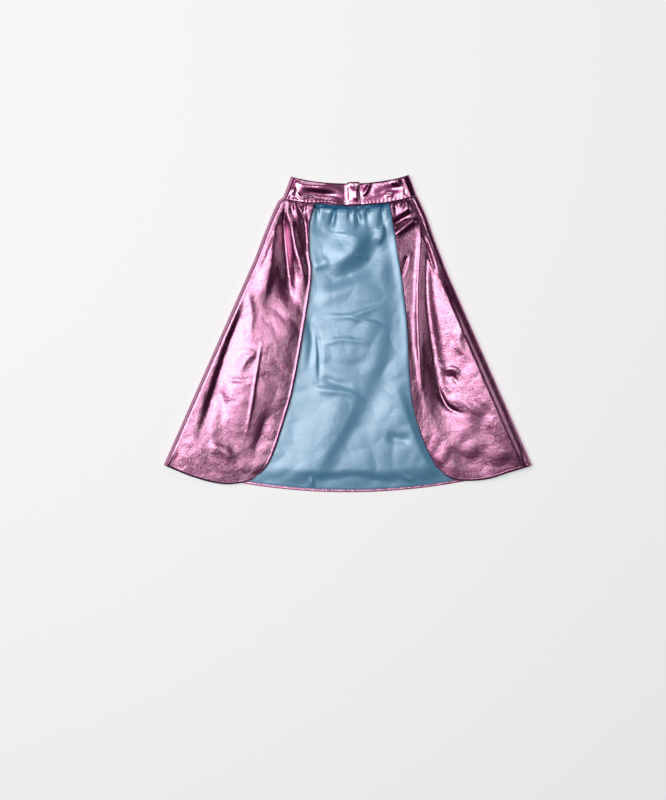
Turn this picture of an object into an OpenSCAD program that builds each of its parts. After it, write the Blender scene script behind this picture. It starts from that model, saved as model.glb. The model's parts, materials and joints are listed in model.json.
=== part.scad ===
// Child's superhero cape, lying on its back with the collar fastened and both
// front panels folded over. Millimetres, +Z up, +Y towards the collar, origin
// at the middle of its footprint. The floor is z = 0.

/* [Cape] */
// Overall length, from the top of the collar to the lowest point of the hem
cape_l = 457; // [440:1:475]
// Width across the hem's corners, between the two side folds
hem_w = 534; // [520:1:550]
// Width across the top of the collar
collar_w = 166; // [160:1:172]
// Height of the hem's corners above its lowest point
hem_rise = 40; // [34:1:46]
// Slope of the front panels, from the side fold down to the front edge
panel_slope = 3; // [2:0.5:3.5]

/* [Collar] */
// Height of the collar band
band_h = 31; // [28:1:34]
// Radius of the band's top edge, as it lies flat
band_r = 320; // [300:5:340]
// Slope of the right collar half, whose end lies under the closure tab
under_slope = 2.8; // [2.6:0.1:3.2]
// Where the closure tab starts, to the right of the centre line
tab_from = -4; // [-6:0.5:-3]
// Where the closure tab ends, to the right of the centre line
tab_to = 17.5; // [17:0.5:20]

/* [Fabric] */
// Thickness of the foil cloth, and of the satin lining
cloth_t = 0.8; // [0.6:0.1:0.9]
// Thickness of each of the collar's three layers
layer_t = 0.7; // [0.6:0.1:0.8]
// Outside radius of the side folds
fold_r = 7; // [6.5:0.5:8]
// Width of each half of the hook-and-loop closure
patch_w = 16; // [14:0.5:17]
// Thickness of each half of the closure
patch_t = 1; // [0.8:0.1:1.2]
// Width of the binding over the neck seam
binding_w = 6; // [5:0.5:8]

/* [Stitching] */
// Length, width and height of one stitch
stitch = [2.2, 0.5, 0.3]; // [0.3:0.1:2.4]
// Pitch of the stitches
stitch_pitch = 3.1; // [2.8:0.1:4]

/* [Hidden] */
$fn = 96;

LEFT = -1;
RIGHT = 1;
foil = "orchid";
satin = "lightskyblue";
binding_blue = "steelblue";
felt = "whitesmoke";
hook_white = "ghostwhite";

top_y = cape_l / 2;
corner = [hem_w / 2, hem_rise - cape_l / 2];
// Both side folds run from the hem's corners to a point above the collar
side_angle = atan((hem_w - collar_w) / 2 / (cape_l - hem_rise));
apex_y = top_y + collar_w / 2 / tan(side_angle);
// The hem's arc passes through both corners and its own lowest point
hem_r = (pow(corner.x, 2) + pow(hem_rise, 2)) / (2 * hem_rise);
// The neck seam and the collar's top edge are arcs about one centre
neck_r = band_r + band_h;
neck_y = top_y + sqrt(pow(band_r, 2) - pow(collar_w / 2, 2));
collar_t = 3 * layer_t;
// The back stops short of the side folds, and so leaves them room to turn
fold_clear = 12;
closure_gap = 0.3;
// Angles along the band: both halves end at the tab's fold line, the tab starts
// past it, and the stitches keep to the width of the collar's top
tab_clear = 1.2;
fold_line = asin(tab_from / neck_r);
tab_start = asin((tab_from + tab_clear) / neck_r);
tab_end = asin(tab_to / neck_r);
stitch_half = asin(collar_w / 2 / neck_r);
// The patches keep clear of both edges of the band
patch_margin = 3.5;
patch_h = band_h - 2 * patch_margin;
patch_low = neck_y - neck_r + patch_margin + 0.5;
stitch_inset = 2.5;
// Longer than anything in the cape, for cutting away one side of a line
wide = 800;

// Each front panel's free edge, from the collar round the rounded corner to the
// side fold. The last point lies on the fold.
left_edge = [
    [-47, 212], [-52, 180], [-60, 150], [-55, 95], [-59, 40], [-76, -50], [-94, -130],
    [-102, -160], [-118, -190], [-143, -212], [-170, -218], [-205, -214], [-240, -204],
    [-corner.x, corner.y]
];
right_edge = [
    [60, 212], [63, 180], [70, 145], [79, 85], [86, 20], [89, -60], [97, -112],
    [112, -162], [130, -194], [152, -209], [178, -214], [205, -212], [236, -203],
    [corner.x, corner.y]
];

// A smooth curve through points, with n steps between each two of them
function spline_at(a, b, c, d, t) =
    0.5 * (2 * b + (c - a) * t + (2 * a - 5 * b + 4 * c - d) * t * t
        + (3 * b - 3 * c + d - a) * t * t * t);
function smooth(p, n = 4) = concat(
    [for (i = [0 : len(p) - 2], k = [0 : n - 1])
        spline_at(p[max(i - 1, 0)], p[i], p[i + 1], p[min(i + 2, len(p) - 1)], k / n)],
    [p[len(p) - 1]]
);

// ---- Plan shapes

module neck_disc(r) {
    translate([0, neck_y]) circle(r, $fn = 360);
}

// The ring between two radii about the neck's centre, and between two angles
// from the centre line
module band_plan(from = -90, to = 90, inner = band_r, outer = neck_r) {
    difference() {
        neck_disc(outer);
        neck_disc(inner);
        translate([0, neck_y]) {
            rotate(from) translate([-wide, -wide]) square([wide, 2 * wide]);
            rotate(to) translate([0, -wide]) square([wide, 2 * wide]);
        }
    }
}

module binding_plan() {
    band_plan(inner = neck_r, outer = neck_r + binding_w);
}

// Everything between the side folds, and clear of each of them by an inset
module between_folds(inset) {
    tip = apex_y - inset / sin(side_angle);
    spread = wide * tan(side_angle);
    polygon([[0, tip], [-spread, tip - wide], [spread, tip - wide]]);
}

module back_plan() {
    difference() {
        intersection() {
            between_folds(fold_clear);
            translate([0, hem_r - top_y]) circle(hem_r, $fn = 360);
        }
        neck_disc(neck_r);
    }
}

module front_plan(side) {
    edge = smooth(side == LEFT ? left_edge : right_edge);
    beyond = side * (corner.x + 40);
    difference() {
        polygon(concat(edge, [[beyond, corner.y + 25], [beyond, top_y], [edge[0].x, top_y]]));
        neck_disc(neck_r);
    }
}

// ---- Layers

module layer(low, high) {
    translate([0, 0, low]) linear_extrude(high - low) children();
}

// Section across a side fold: round the outside of the fold and on across the front
module fold_section(outer, inner) {
    translate([fold_r, fold_r]) {
        difference() {
            circle(outer);
            circle(inner);
            translate([0, -wide]) square(2 * wide);
        }
        translate([0, inner]) square([wide / 2, outer - inner]);
    }
}

// Tips the children down about one side's fold, so that their far edge is lower
module tip_down(side, slope) {
    translate([0, apex_y, 0])
        rotate([0, 0, side * side_angle])
            translate([-side * fold_r, 0, fold_r])
                rotate([0, -side * slope, 0])
                    translate([side * fold_r, 0, -fold_r])
                        rotate([0, 0, -side * side_angle])
                            translate([0, -apex_y, 0])
                                children();
}

// A folded layer of cloth: its plan shape is the children
module folded_layer(side, slope, depth, thick) {
    outer = fold_r - depth;
    tip_down(side, slope)
        intersection() {
            mirror([side == RIGHT ? 1 : 0, 0, 0])
                translate([0, apex_y, 0])
                    rotate([0, 0, -side_angle])
                        rotate([90, 0, 0])
                            linear_extrude(wide)
                                fold_section(outer, outer - thick);
            layer(-1, 3 * fold_r) children();
        }
}

// Lies on top of one side's folded cloth, at a height above it
module on_top(side, slope, height = 0) {
    tip_down(side, slope)
        translate([0, 0, 2 * fold_r + height])
            children();
}

// ---- Stitches

// A row of stitches round the neck's centre, on top of z = 0
module stitch_arc(from, to, r) {
    step = stitch_pitch / r * 180 / PI;
    for (angle = [from : step : to])
        translate([0, neck_y, stitch.z / 2])
            rotate([0, 0, angle])
                translate([0, -r, 0])
                    cube(stitch, center = true);
}

// A row of stitches on a straight line, on top of z = 0
module stitch_row(from, to) {
    run = to - from;
    count = floor(norm(run) / stitch_pitch);
    for (i = [0 : count])
        translate([each (from + run * i / count), stitch.z / 2])
            rotate([0, 0, atan2(run.y, run.x)])
                cube(stitch, center = true);
}

// A rectangle of stitches inside the patch, and clear of its own corners
module stitch_box(inset) {
    low = [inset, patch_low + inset];
    high = [patch_w - inset, patch_low + patch_h - inset];
    clear = stitch.x / 2 + stitch.y;
    for (y = [low.y, high.y])
        stitch_row([low.x + clear, y], [high.x - clear, y]);
    for (x = [low.x, high.x])
        stitch_row([x, low.y + clear], [x, high.y - clear]);
}

// ---- Back

module back_shell() {
    color(foil) layer(0, cloth_t) back_plan();
}
module back_lining() {
    color(satin) layer(cloth_t, 2 * cloth_t) back_plan();
}
module back_neck_binding() {
    color(binding_blue)
        layer(2 * cloth_t, 3 * cloth_t)
            intersection() {
                binding_plan();
                between_folds(fold_clear);
            }
}
module back_binding_stitching() {
    color(satin)
        translate([0, 0, 3 * cloth_t])
            stitch_arc(-stitch_half, stitch_half, neck_r + binding_w - 1);
}

// One of the collar's three layers behind the neck, counted from the outside
module back_band(index) {
    layer(index * layer_t, (index + 1) * layer_t)
        intersection() {
            band_plan();
            between_folds(fold_clear);
        }
}
module back_collar_outer() {
    color(foil) back_band(0);
}
module back_collar_interfacing() {
    color(felt) back_band(1);
}
module back_collar_facing() {
    color(foil) back_band(2);
}
module back_neck_stitching() {
    color(foil)
        translate([0, 0, collar_t])
            stitch_arc(-stitch_half, stitch_half, neck_r - stitch_inset);
}

// ---- Front panels

module front_shell(side) {
    color(foil) folded_layer(side, panel_slope, 0, cloth_t) front_plan(side);
}
module front_lining(side) {
    color(satin) folded_layer(side, panel_slope, cloth_t, cloth_t) front_plan(side);
}
module front_binding(side) {
    color(binding_blue)
        folded_layer(side, panel_slope, 2 * cloth_t, cloth_t)
            intersection() {
                binding_plan();
                front_plan(side);
            }
}
module left_shell() {
    front_shell(LEFT);
}
module left_lining() {
    front_lining(LEFT);
}
module left_neck_binding() {
    front_binding(LEFT);
}
module right_shell() {
    front_shell(RIGHT);
}
module right_lining() {
    front_lining(RIGHT);
}
module right_neck_binding() {
    front_binding(RIGHT);
}

// ---- Front halves of the collar

// One of the three layers of a half, counted from the outside
module left_band(index) {
    folded_layer(LEFT, 0, index * layer_t, layer_t) band_plan(to = fold_line);
}
module right_band(index) {
    folded_layer(RIGHT, under_slope, index * layer_t, layer_t) band_plan(from = fold_line);
}
module left_collar_outer() {
    color(foil) left_band(0);
}
module left_collar_interfacing() {
    color(felt) left_band(1);
}
module left_collar_facing() {
    color(foil) left_band(2);
}
module left_neck_stitching() {
    color(foil)
        on_top(LEFT, 0)
            stitch_arc(-stitch_half, fold_line - 0.5, neck_r - stitch_inset);
}
module right_collar_outer() {
    color(foil) right_band(0);
}
module right_collar_interfacing() {
    color(felt) right_band(1);
}
module right_collar_facing() {
    color(foil) right_band(2);
}
module right_neck_stitching() {
    color(foil)
        on_top(RIGHT, under_slope)
            stitch_arc(tab_end + 0.5, stitch_half, neck_r - stitch_inset);
}

// ---- Closure: the tab lies on the right half, with the two patches between

// Heights above the right half
hook_low = patch_t + closure_gap;
tab_low = hook_low + patch_t;

module patch(height) {
    on_top(RIGHT, under_slope, height)
        translate([0, patch_low, 0])
            cube([patch_w, patch_h, patch_t]);
}
module loop_patch() {
    color(hook_white)
        difference() {
            patch(0);
            loop_patch_stitches();
        }
}
// The stitches lie in the loops, level with the patch's face
module loop_patch_stitches() {
    on_top(RIGHT, under_slope, patch_t - stitch.z) stitch_box(1.5);
}
module loop_patch_stitching() {
    color(hook_white) loop_patch_stitches();
}
module hook_patch() {
    color(hook_white) patch(hook_low);
}
module tab_band(index) {
    on_top(RIGHT, under_slope, tab_low + index * layer_t)
        layer(0, layer_t)
            band_plan(tab_start, tab_end);
}
module tab_facing() {
    color(foil) tab_band(0);
}
module tab_interfacing() {
    color(felt) tab_band(1);
}
module tab_outer() {
    color(foil) tab_band(2);
}
module tab_box_stitching() {
    color(foil) on_top(RIGHT, under_slope, tab_low + collar_t) stitch_box(1);
}

back_shell();
back_lining();
back_neck_binding();
back_collar_outer();
back_collar_interfacing();
back_collar_facing();
back_neck_stitching();
back_binding_stitching();
left_shell();
left_lining();
left_neck_binding();
left_collar_outer();
left_collar_interfacing();
left_collar_facing();
left_neck_stitching();
right_shell();
right_lining();
right_neck_binding();
right_collar_outer();
right_collar_interfacing();
right_collar_facing();
right_neck_stitching();
loop_patch();
loop_patch_stitching();
tab_outer();
tab_interfacing();
tab_facing();
hook_patch();
tab_box_stitching();
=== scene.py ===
"""A child's superhero cape, lying on its back with its collar fastened.

Shapes are worked out in millimetres, in the CAD model's frame: X to the right, Y towards
the collar and Z up from the floor. Meshes are in metres. Left and right are as seen from
the front. Each cloth starts as a grid laid out between its edges and gets its folds. A small
cloth solver then lets the spare cloth of the fronts and the back lining buckle into wrinkles.
"""
import json
import math

import bpy
import numpy as np
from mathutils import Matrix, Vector


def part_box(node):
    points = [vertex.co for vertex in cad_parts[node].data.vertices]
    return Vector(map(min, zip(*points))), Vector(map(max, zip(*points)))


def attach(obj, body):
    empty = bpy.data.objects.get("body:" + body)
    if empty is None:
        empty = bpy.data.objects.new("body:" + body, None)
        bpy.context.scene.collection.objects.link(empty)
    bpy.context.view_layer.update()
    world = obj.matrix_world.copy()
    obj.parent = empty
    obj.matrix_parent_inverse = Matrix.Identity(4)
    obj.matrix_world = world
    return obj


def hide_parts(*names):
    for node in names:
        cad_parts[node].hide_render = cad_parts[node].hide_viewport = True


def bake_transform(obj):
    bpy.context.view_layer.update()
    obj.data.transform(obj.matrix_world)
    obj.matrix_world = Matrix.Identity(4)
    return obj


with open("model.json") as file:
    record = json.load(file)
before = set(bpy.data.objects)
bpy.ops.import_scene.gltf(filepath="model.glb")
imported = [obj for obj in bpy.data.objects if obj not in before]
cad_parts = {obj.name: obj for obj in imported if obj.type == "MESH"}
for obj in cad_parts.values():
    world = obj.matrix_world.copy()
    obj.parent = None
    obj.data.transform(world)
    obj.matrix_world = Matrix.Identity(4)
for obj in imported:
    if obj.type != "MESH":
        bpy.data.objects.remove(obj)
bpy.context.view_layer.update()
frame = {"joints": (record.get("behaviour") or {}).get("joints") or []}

MM = 0.001
LEFT, RIGHT = -1, 1
SIDE_NAMES = {LEFT: "left", RIGHT: "right"}

# ---------------------------------------------------------------- sizes from the CAD model

joints = {joint["name"]: joint for joint in frame["joints"]}


def cad_range(node, axis):
    """The lowest and highest place of a CAD node along an axis, in millimetres."""
    low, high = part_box(node)
    return low[axis] / MM, high[axis] / MM


FOLD_DIRECTION = -Vector(joints["left_front_fold"]["axis"])
CORNER = Vector(joints["right_front_fold"]["pos_m"]) / MM
FOLD_R = CORNER.z
TOP_Y = cad_range("left_collar_outer", 1)[1]
HEM_LOW = cad_range("back_shell", 1)[0]
SIDE_TAN = FOLD_DIRECTION.x / FOLD_DIRECTION.y
SIDE_SIN, SIDE_COS = FOLD_DIRECTION.x, FOLD_DIRECTION.y
APEX_Y = CORNER.y + CORNER.x / SIDE_TAN
COLLAR_HALF = (APEX_Y - TOP_Y) * SIDE_TAN
BAND_H = 31.0
BAND_R = 320.0
NECK_R = BAND_R + BAND_H
NECK_Y = TOP_Y + math.sqrt(BAND_R**2 - COLLAR_HALF**2)
HEM_RISE = CORNER.y - HEM_LOW
HEM_R = (CORNER.x**2 + HEM_RISE**2) / (2 * HEM_RISE)
TAB_FROM, TAB_TO = -6.0, cad_range("tab_outer", 0)[1]
# How far the tab's cloth lies above the right half of the collar
TAB_RISE = 4.4
# Where the side seams are, in from the side folds, and how far the back laps under them
SEAM_INSET = 12.0
SEAM_LAP = 2.5
# The tab's box of stitches: its sides, and its ends measured up from the neck seam
BOX_X = (0.8, 15.8)
BOX_UP = (4, 28)
PATCH_LOW, PATCH_TOP = cad_range("loop_patch", 1)
PANEL_SLOPE = math.tan(math.radians(3))
UNDER_SLOPE = math.tan(math.radians(2.8))

# ---------------------------------------------------------------- curves and noise


def smoothstep(x, start=0.0, end=1.0):
    t = np.clip((np.asarray(x, float) - start) / (end - start), 0, 1)
    return t * t * (3 - 2 * t)


def curve(points, count):
    """count points, evenly spaced along a smooth curve through the given ones."""
    p = np.array(points, float)
    before = np.vstack([2 * p[0] - p[1], p[:-1]])
    after = np.vstack([p[1:], 2 * p[-1] - p[-2]])
    slope = (after - before) / 2
    t = np.linspace(0, 1, 33)[:-1, None]
    pieces = []
    for a, b, at_a, at_b in zip(p[:-1], p[1:], slope[:-1], slope[1:]):
        pieces.append(
            (2 * t**3 - 3 * t**2 + 1) * a
            + (t**3 - 2 * t**2 + t) * at_a
            + (3 * t**2 - 2 * t**3) * b
            + (t**3 - t**2) * at_b
        )
    fine = np.vstack(pieces + [p[-1:]])
    return evenly(fine, count)


def evenly(points, count):
    """Points along a polyline: count of them, evenly spaced, or at the given shares of it."""
    steps = np.linalg.norm(np.diff(points, axis=0), axis=1)
    length = np.concatenate([[0], np.cumsum(steps)])
    at = length[-1] * (np.linspace(0, 1, count) if np.isscalar(count) else count)
    return np.stack([np.interp(at, length, points[:, i]) for i in range(points.shape[1])], 1)


WAVE_COUNT = 28


def waves(x, y, length, seed, stretch=1.0):
    """Smooth noise of about unit height, with bumps about this long in millimetres."""
    random = np.random.RandomState(seed)
    total = np.zeros_like(x)
    for _ in range(WAVE_COUNT):
        angle = random.uniform(0, 2 * math.pi)
        pitch = length * random.uniform(0.7, 1.5)
        phase = random.uniform(0, 2 * math.pi)
        across = math.cos(angle) * x + math.sin(angle) * y / stretch
        total += np.sin(across * 2 * math.pi / pitch + phase)
    return total / math.sqrt(WAVE_COUNT / 2)


def crumple(x, y, length, seed):
    """Shallow panes with soft creases between them, about this long in millimetres."""
    return np.abs(waves(x, y, length, seed)) - 0.8


def fold(x, y, path, height, left, right, height_end=None, grow=1.0):
    """The height that one fold adds. It is left and right wide on the sides of its path, and
    its width grows by this factor on the way."""
    line = curve(path, 24)
    best = np.full(x.shape, np.inf)
    side = np.zeros(x.shape)
    place = np.zeros(x.shape)
    for i, (a, b) in enumerate(zip(line[:-1], line[1:])):
        run = b - a
        t = np.clip(((x - a[0]) * run[0] + (y - a[1]) * run[1]) / (run @ run), 0, 1)
        dx, dy = x - a[0] - t * run[0], y - a[1] - t * run[1]
        away = np.hypot(dx, dy)
        closer = away < best
        best = np.where(closer, away, best)
        side = np.where(closer, np.sign(run[0] * dy - run[1] * dx), side)
        place = np.where(closer, (i + t) / (len(line) - 1), place)
    width = np.where(side > 0, left, right) * (1 + (grow - 1) * place)
    ends = smoothstep(place, 0, 0.3) * smoothstep(1 - place, 0, 0.4)
    tall = height + ((height if height_end is None else height_end) - height) * place
    return tall * ends * np.exp(-((best / width) ** 2))


def folds(x, y, table):
    return sum(fold(x, y, *row) for row in table)


# ---------------------------------------------------------------- the cloth solver


def pairs(rows, cols, down, across):
    """Index pairs of grid points that are this far apart, and a batch number for each."""
    ids = np.arange(rows * cols).reshape(rows, cols)
    first = ids[: rows - down, max(0, -across) : cols - max(0, across)]
    second = ids[down:, max(0, across) : cols + min(0, across)]
    row, col = np.divmod(first, cols)
    if down:
        batch = (row // down) % 2
    else:
        batch = (col // across) % 2
    return first.ravel(), second.ravel(), batch.ravel()


# Which grid points are joined: rows down, columns across, and how stiffly. The last two resist
# bending.
THREADS = [(0, 1, 1.0), (1, 0, 1.0), (1, 1, 0.6), (1, -1, 0.6), (0, 2, 0.08), (2, 0, 0.08)]
# How strongly each step draws the cloth back to the height that it was given
HOLD = 0.01


def settle(grid, slack_across, slack_along, pinned, ground, steps):
    """Lets spare cloth buckle. slack is the share by which the cloth is longer than the grid
    in each direction, pinned marks points that stay, and ground is the lowest height."""
    rows, cols = grid.shape[:2]
    p = grid.reshape(-1, 3).copy()
    target = p[:, 2].copy()
    free = np.where(pinned.ravel(), 0.0, 1.0)
    low = np.broadcast_to(ground, (rows, cols)).ravel()
    across, along = slack_across.ravel(), slack_along.ravel()
    batches = []
    for di, dj, stiff in THREADS:
        first, second, batch = pairs(rows, cols, di, dj)
        share = {(0, 1): across, (0, 2): across, (1, 0): along, (2, 0): along}
        spare = share.get((di, dj), (across + along) / 2)
        length = np.linalg.norm(p[second] - p[first], axis=1) * (1 + spare[first])
        for number in (0, 1):
            keep = batch == number
            a, b = first[keep], second[keep]
            weight = free[a] + free[b]
            scale = stiff / np.maximum(weight, 1e-6)
            batches.append((a, b, length[keep], scale, free[a][:, None], free[b][:, None]))
    for _ in range(steps):
        for a, b, length, scale, free_a, free_b in batches:
            run = p[b] - p[a]
            now = np.sqrt(np.einsum("ij,ij->i", run, run)) + 1e-9
            push = (scale * (now - length) / now)[:, None] * run
            p[a] += free_a * push
            p[b] -= free_b * push
        p[:, 2] += free * HOLD * (target - p[:, 2])
        p[:, 2] = np.where(free > 0, np.maximum(p[:, 2], low), p[:, 2])
    return p.reshape(rows, cols, 3)


def border(shape):
    """True along the four sides of a grid."""
    edge = np.ones(shape, bool)
    edge[1:-1, 1:-1] = False
    return edge


def buckled(plan, height, drop, spare, gathered, ground, steps):
    """A panel, settled with this share of spare cloth. gathered is the extra share at the neck
    seam, and the share down the panel at which that ends."""
    grid = np.dstack([plan, height])
    at_seam, reach = gathered
    across = spare + at_seam * (1 - smoothstep(drop, 0, reach))
    return settle(grid, across, spare + 0 * drop, border(drop.shape), ground, steps)


# ---------------------------------------------------------------- meshes


def normals(grid):
    """Unit normals of a grid of points, for rows that run down and columns to the right."""
    down = np.gradient(grid, axis=0)
    across = np.gradient(grid, axis=1)
    n = np.cross(down, across)
    return n / np.maximum(np.linalg.norm(n, axis=2, keepdims=True), 1e-9)


def quads(ids):
    return np.stack([ids[:-1, :-1], ids[1:, :-1], ids[1:, 1:], ids[:-1, 1:]], -1).reshape(-1, 4)


def cloth_lengths(grid):
    """Each point's place in the cloth, in millimetres: along its row and down its column."""
    across = np.linalg.norm(np.diff(grid, axis=1), axis=2)
    down = np.linalg.norm(np.diff(grid, axis=0), axis=2)
    u = np.cumsum(np.pad(across, ((0, 0), (1, 0))), axis=1)
    v = np.cumsum(np.pad(down, ((1, 0), (0, 0))), axis=0)
    return np.stack([u - u.mean(axis=1, keepdims=True), v], -1)


def flat_cut(grid, fullness=0.0, turned=(0.0, 0.0)):
    """The flat cut of cloth that was laid out as this grid: its width and length, and its area,
    in metres. fullness is the share of spare width, and turned the edges that are rolled in."""
    across, down = np.diff(grid, axis=1), np.diff(grid, axis=0)
    width = np.linalg.norm(across, axis=2).sum(axis=1).max()
    length = np.linalg.norm(down, axis=2).sum(axis=0).max()
    area = np.linalg.norm(np.cross(across[:-1], down[:, :-1]), axis=2).sum() * (1 + fullness)
    area *= (1 + turned[0] / width) * (1 + turned[1] / length)
    size = (width * (1 + fullness) + turned[0], length + turned[1])
    return tuple(float(v * MM) for v in size), float(area * MM * MM)


def new_mesh(name, points, faces, uv, thickness=0.0):
    """A smooth mesh of points in millimetres, with a map of the cloth in metres."""
    mesh = bpy.data.meshes.new(name)
    mesh.from_pydata((np.asarray(points) * MM).tolist(), [], [list(face) for face in faces])
    mesh.polygons.foreach_set("use_smooth", [True] * len(mesh.polygons))
    layer = mesh.uv_layers.new(name="cloth")
    corners = np.zeros(len(mesh.loops), int)
    mesh.loops.foreach_get("vertex_index", corners)
    layer.data.foreach_set("uv", (np.asarray(uv)[corners] * MM).ravel())
    obj = bpy.data.objects.new(name, mesh)
    bpy.context.scene.collection.objects.link(obj)
    if thickness:
        solid = obj.modifiers.new("thickness", "SOLIDIFY")
        solid.thickness = thickness * MM
        solid.offset = 0
    return obj


def sheet_mesh(name, grid, thickness, rims=(), face=1):
    """A mesh of a grid of points, with a rolled rim for each (ids, outward, radius, turn). Rims
    roll down where face is 1, and up where it is -1."""
    rows, cols = grid.shape[:2]
    ids = np.arange(rows * cols).reshape(rows, cols)
    points, faces = [grid.reshape(-1, 3)], [quads(ids)]
    uv = [cloth_lengths(grid).reshape(-1, 2)]
    last = rows * cols
    up = normals(grid).reshape(-1, 3)
    if up[:, 2].mean() * face < 0:
        up = -up
    for rim_ids, out, radius, turn in rims:
        edge, edge_up = points[0][rim_ids], up[rim_ids]
        strip = [rim_ids]
        for angle in np.linspace(0, turn, 6)[1:]:
            roll = out * math.sin(angle) - edge_up * (1 - math.cos(angle))
            points.append(edge + radius * roll)
            uv.append(uv[0][rim_ids] + out[:, :2] * radius * angle)
            strip.append(np.arange(last, last + len(rim_ids)))
            last += len(rim_ids)
        faces.append(quads(np.array(strip)))
    return new_mesh(name, np.vstack(points), np.vstack(faces), np.vstack(uv), thickness)


def edge_ids(grid, *sides):
    """Indices along the sides of a grid, named in the order they are met."""
    ids = np.arange(grid.shape[0] * grid.shape[1]).reshape(grid.shape[:2])
    lines = {"top": ids[0], "right": ids[:, -1], "bottom": ids[-1], "bottom_back": ids[-1, ::-1]}
    line = lines[sides[0]]
    for side in sides[1:]:
        line = np.concatenate([line, lines[side][1:]])
    return line


def rim(grid, sides, inside, radius, turn=math.pi):
    """A rolled rim along the named sides of a grid."""
    ids = edge_ids(grid, *sides)
    return ids, outward(grid.reshape(-1, 3)[ids], inside), radius, turn


def outward(line, inside):
    """Horizontal unit directions across a line of points, away from a point inside."""
    run = np.gradient(line[:, :2], axis=0)
    out = np.stack([run[:, 1], -run[:, 0]], 1)
    out /= np.linalg.norm(out, axis=1, keepdims=True)
    middle = line[:, :2].mean(axis=0)
    if ((middle - np.asarray(inside)) @ out.mean(axis=0)) < 0:
        out = -out
    return np.pad(out, ((0, 0), (0, 1)))


# ---------------------------------------------------------------- the front panels

# Each front edge and hem, from the neck seam to the side fold's corner.
FRONT_EDGE = {
    LEFT: [(-48, 192), (-57, 160), (-57, 120), (-54, 86), (-63, 20), (-80, -75), (-96, -132),
           (-112, -178), (-127, -199)],
    RIGHT: [(60, 194), (66, 160), (73, 115), (79, 75), (86, 15), (90, -62), (96, -110),
            (111, -157), (128, -191)],
}
FRONT_HEM = {
    LEFT: [(-127, -199), (-143, -211), (-170, -216.5), (-198, -213.5), (-230, -204)],
    RIGHT: [(128, -191), (150, -208.5), (176, -211.7), (205, -208.5), (235, -199)],
}

# Folds: path down the cloth, height, width on its left and on its right, height at its end.
# Widths are as one looks along the path, so left is towards +X on a path that runs down.
FRONT_FOLDS = {
    LEFT: [
        # hollow that leaves the side fold, and the broad swell beside it
        ([(-146, 66), (-168, 0), (-192, -75), (-209, -130), (-222, -172)], -3.4, 15, 5.5),
        ([(-98, 60), (-106, -10), (-126, -78), (-142, -122), (-170, -176)], 3.4, 42, 42),
        # narrow valley below the gathers, and the ridges on both sides of it
        ([(-95, 196), (-91, 130), (-86, 82), (-80, 28)], -7.0, 5, 8, -6, 1.5),
        ([(-108, 160), (-110, 112), (-118, 74), (-128, 30)], 3.6, 7, 13, 2.5),
        ([(-84, 182), (-77, 133), (-66, 92), (-60, 52)], 5.0, 5, 6, 3.4, 1.4),
        # swell at the shoulder
        ([(-104, 190), (-116, 160), (-128, 122)], 1.6, 6, 8),
        # valley between the ridge and the front edge
        ([(-63, 180), (-61, 150), (-58, 112)], -2.6, 4, 5),
        # pressed creases
        ([(-123, 0), (-131, -45), (-141, -110), (-151, -160)], 1.1, 2.4, 1.8),
        ([(-179, -64), (-158, -66.5), (-134, -64)], -1.0, 1.6, 2.0),
        # soft crumples
        ([(-148, 70), (-139, 30), (-146, -20)], 1.0, 5, 9),
        ([(-128, -20), (-146, -36), (-160, -60)], 1.3, 5, 7),
        ([(-194, -70), (-180, -100), (-190, -140)], -1.1, 7, 7),
        ([(-205, -160), (-180, -168), (-160, -186)], 1.8, 7, 9),
        ([(-110, -100), (-122, -140), (-140, -180)], -1.6, 14, 8),
        ([(-190, -96), (-198, -140), (-200, -200)], 1.8, 16, 22),
    ],
    RIGHT: [
        # pleat that crosses from the front edge to the shoulder, and the hollow and swell above
        ([(60, 138), (76, 151), (92, 163), (112, 176)], 3.4, 4, 6),
        ([(60, 158), (74, 164), (92, 178)], -3.6, 5, 5),
        ([(104, 190), (88, 184), (74, 166)], 2.6, 6, 6),
        # plateau inside the front edge, which ends at a ridge above a deep valley
        ([(107, 190), (107, 150), (104, 95), (102, 30), (105, -40), (110, -90), (122, -140)],
         1.6, 5, 3.4, 1.8, 1.6),
        ([(106, 184), (105, 140), (102, 90), (101, 30), (104, -40), (109, -88), (118, -130)],
         1.6, 2.8, 4.5, 1.4),
        ([(113, 176), (114, 120), (114, 60), (121, 0), (131, -60), (140, -112), (154, -166)],
         -5.0, 5, 5, -5.4, 2.8),
        ([(113, 150), (118, 118), (127, 84)], -3.0, 3, 3),
        # broad swell down to the hem, which falls to the side fold
        ([(136, 118), (158, 50), (188, -28), (216, -98), (240, -160), (262, -230)],
         4.6, 6, 22, 7.5, 2.4),
        # marks inside the front edge
        ([(87, 116), (82, 100), (76, 80)], -1.9, 2.4, 3),
        ([(86, 50), (92, 0), (94, -60)], -1.0, 6, 6),
        # crumples
        ([(137, -52), (152, -49), (166, -58)], 1.5, 2.5, 4),
        ([(140, -64), (152, -61), (160, -76)], -1.3, 2.5, 4),
        ([(128, -69), (137, -92), (148, -107), (172, -118)], -2.2, 2.6, 3.6),
        ([(140, -104), (160, -94), (190, -116)], 1.2, 6, 9),
        ([(170, 20), (160, -10), (174, -40)], 1.4, 6, 7),
        ([(206, -96), (196, -132), (214, -165)], -1.2, 8, 11),
        ([(140, -170), (180, -184), (222, -176)], -1.3, 12, 14),
    ],
}
# Tucks sewn into the neck seam: place across, drift for each millimetre down, depth and length
FRONT_TUCKS = {
    LEFT: [(-91, -0.10, 3.6, 16), (-82, 0.02, 4.6, 22), (-74, 0.30, 4.0, 16),
           (-62, -0.12, 4.2, 15)],
    RIGHT: [(68, 0.12, 3.4, 12), (80, -0.10, 3.0, 9), (93, 0.10, 4.0, 18)],
}


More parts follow.
